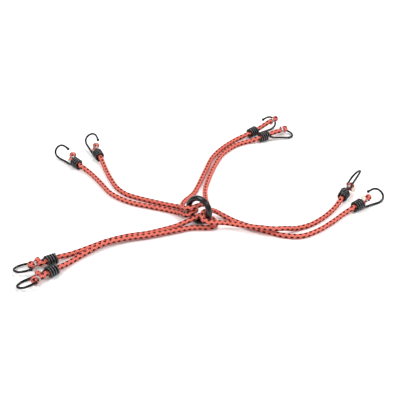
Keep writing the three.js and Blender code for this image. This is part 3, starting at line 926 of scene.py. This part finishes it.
def black_dip_coating():
    """Glossy black coating on steel wire, with a painted grey highlight on the outside of the coils."""
    m, shader = new_material("black_dip_coating")
    peel = add(m, "TexNoise", {"Scale": 1 / PEEL_SIZE, "Detail": 2.0}).outputs[0]
    wear = add(m, "TexNoise", {"Scale": 1 / WEAR_SIZE, "Detail": 4.0}).outputs[0]
    tone = add(m, "ValToRGB", {0: wear}, [(0.35, COATING_DARK), (0.75, COATING_LIGHT)]).outputs[0]
    # Painted highlight: a grey line on the outside of each coil turn, dimmer where the patch noise is low.
    outside = add(m, "Attribute", attribute_name="painted_highlight").outputs["Fac"]
    patchy = {"Value": wear, "From Min": 0.35, "From Max": 0.6, "To Min": 0.25, "To Max": 1.0}
    painted_highlight = {0: outside, 1: add(m, "MapRange", patchy).outputs[0]}
    share = add(m, "Math", painted_highlight, operation="MULTIPLY").outputs[0]
    colour = add(m, "Mix", {0: share, 6: tone, 7: linear(COATING_PAINTED_HIGHLIGHT)}, data_type="RGBA")
    rough = add(m, "MapRange", {"Value": wear, "To Min": 0.1, "To Max": 0.2})
    bump = add(m, "Bump", {"Height": peel, "Strength": 0.15, "Distance": 0.1 * MM})
    fill(m, shader, {
        "Base Color": colour.outputs[2],
        "Normal": bump.outputs[0],
        "Roughness": rough.outputs[0],
        "IOR": 1.5,
        "Specular IOR Level": 0.3,
    })
    return m


BLACK_COATING = black_dip_coating()
for piece in hooks.values():
    piece.data.materials.append(BLACK_COATING)
print("the hooks are coated with", BLACK_COATING.name)

# %% [markdown]
# ## Moulded plastic
# The ring is black polypropylene, moulded in a polished tool that has grown dull. It is glossy with a
# soft edge to its highlights. A picture of worn plastic could be used, but two noise patterns do as
# well. One is the tool's grain, which is about 0.05 mm, too fine to show, and is drawn at 0.4 mm. The
# other is how the cords have polished the plastic by rubbing, in patches of about 11 mm.

# %% The moulded ring
PLASTIC_DARK = "08080a"
PLASTIC_LIGHT = "131315"
GRAIN_SIZE = 0.4 * MM
POLISH_SIZE = 11 * MM


def moulded_polypropylene():
    """Glossy black moulded plastic with a fine grain."""
    m, shader = new_material("moulded_polypropylene_black")
    grain = add(m, "TexNoise", {"Scale": 1 / GRAIN_SIZE, "Detail": 2.0}).outputs[0]
    polish = add(m, "TexNoise", {"Scale": 1 / POLISH_SIZE, "Detail": 3.0}).outputs[0]
    tone = add(m, "ValToRGB", {0: polish}, [(0.3, PLASTIC_DARK), (0.8, PLASTIC_LIGHT)])
    rough = add(m, "MapRange", {"Value": polish, "To Min": 0.16, "To Max": 0.3})
    bump = add(m, "Bump", {"Height": grain, "Strength": 0.12, "Distance": 0.05 * MM})
    fill(m, shader, {
        "Base Color": tone.outputs[0],
        "Normal": bump.outputs[0],
        "Roughness": rough.outputs[0],
        "IOR": 1.49,
    })
    return m


ring.data.materials.append(moulded_polypropylene())
print("the ring is", ring.data.materials[0].name)

# %% [markdown]
# ## Zinc plate
# The bands are mild steel with bright zinc plate. Rolling left fine lines along the strip, and the
# press dulled them, so the metal is bright but not a mirror. The real lines are a few hundredths of a
# millimetre apart, too fine to show. They are drawn 0.13 mm apart and 6 mm long, from the UV map. The
# shader's anisotropy could stretch its highlights instead, but drawn lines follow the bent strip. The
# zinc is brighter and darker in spots of about 1.25 mm.

# %% The plated bands
ZINC_DARK = "9a9da2"
ZINC_LIGHT = "c4c7cb"
SPOT_SIZE = 1.25 * MM
ROLLED_LINES_AROUND = 48
ROLLED_LINE_LENGTH = 6 * MM


def bright_zinc_plate():
    """Bright zinc plate on a rolled steel strip."""
    m, shader = new_material("bright_zinc_plate")
    spots = add(m, "TexNoise", {"Scale": 1 / SPOT_SIZE, "Detail": 3.0}).outputs[0]
    strip = add(m, "UVMap", uv_map="braid").outputs[0]
    stretch = (ROLLED_LINES_AROUND, 1 / ROLLED_LINE_LENGTH, 1.0)
    lines_along = add(m, "Mapping", {"Vector": strip, "Scale": stretch}).outputs[0]
    rolled = add(m, "TexNoise", {"Vector": lines_along, "Scale": 1.0}).outputs[0]
    tone = add(m, "ValToRGB", {0: spots}, [(0.3, ZINC_DARK), (0.7, ZINC_LIGHT)])
    rough = add(m, "MapRange", {"Value": rolled, "To Min": 0.24, "To Max": 0.42})
    bump = add(m, "Bump", {"Height": rolled, "Strength": 0.2, "Distance": 0.05 * MM})
    fill(m, shader, {
        "Base Color": tone.outputs[0],
        "Normal": bump.outputs[0],
        "Roughness": rough.outputs[0],
        "Metallic": 1.0,
    })
    return m


ZINC = bright_zinc_plate()
for piece in bands.values():
    piece.data.materials.append(ZINC)
print("the bands are", ZINC.name)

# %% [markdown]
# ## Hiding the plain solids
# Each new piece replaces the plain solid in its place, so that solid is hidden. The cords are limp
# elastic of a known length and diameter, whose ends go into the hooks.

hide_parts("centre_ring")
for end in ENDS:
    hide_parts(f"hook_{end}")
    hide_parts(f"band_{end}")
for cord, piece in cords.items():
    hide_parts(f"cord_{cord}")

# %% [markdown]
# ## The floor and the light
# The strap was photographed on white, under large soft lights. A pale floor takes the place of the
# backdrop. The studio's soft boxes could be modelled as glowing sheets, but square lamps give the same
# light in fewer steps. Four of them, on the left, on the right, behind and in front, give the black
# parts their grey highlights and light the floor up to white. A soft white sky fills the shadows.

# %% Floor, sky and lamps
FLOOR_SIZE = 6.0
FLOOR_COLOUR = "fcfcfc"
SKY_COLOUR = "ffffff"
SKY_STRENGTH = 0.4
# Each lamp's place, the side of its square, in metres, and its power, in watts.
LAMPS = {
    "left": ((-1.0, -0.2, 1.5), 0.7, 15),
    "right": ((1.1, -0.1, 1.4), 0.6, 16),
    "back": ((0.1, 1.2, 1.4), 0.7, 15),
    "front": ((0.2, -1.5, 1.7), 0.6, 6),
}


def build_floor():
    """A large plain pale floor."""
    mesh = bpy.data.meshes.new("floor")
    half = FLOOR_SIZE / 2
    corners = [(-half, -half, 0), (half, -half, 0), (half, half, 0), (-half, half, 0)]
    mesh.from_pydata(corners, [], [(0, 1, 2, 3)])
    floor = bpy.data.objects.new("floor", mesh)
    bpy.context.collection.objects.link(floor)
    m, shader = new_material("pale_floor")
    fill(m, shader, {
        "Base Color": linear(FLOOR_COLOUR),
        "Roughness": 0.9,
        "Specular IOR Level": 0.1,
    })
    mesh.materials.append(m)


def add_lamp(name, place, size, watts):
    """A square lamp at a place, turned to the middle of the strap."""
    data = bpy.data.lights.new(name, "AREA")
    data.size = size
    data.energy = watts
    lamp = bpy.data.objects.new(name, data)
    lamp.location = place
    lamp.rotation_euler = Vector(place).to_track_quat("Z", "Y").to_euler()
    bpy.context.collection.objects.link(lamp)


build_floor()
for name, (place, size, watts) in LAMPS.items():
    add_lamp(name, place, size, watts)

world = bpy.data.worlds.new("soft_sky")
world.use_nodes = True
sky = world.node_tree.nodes["Background"]
sky.inputs["Color"].default_value = linear(SKY_COLOUR)
sky.inputs["Strength"].default_value = SKY_STRENGTH
bpy.context.scene.world = world
bpy.context.scene.view_settings.view_transform = "Standard"
print("the floor, the sky and", len(LAMPS), "lamps are in place")
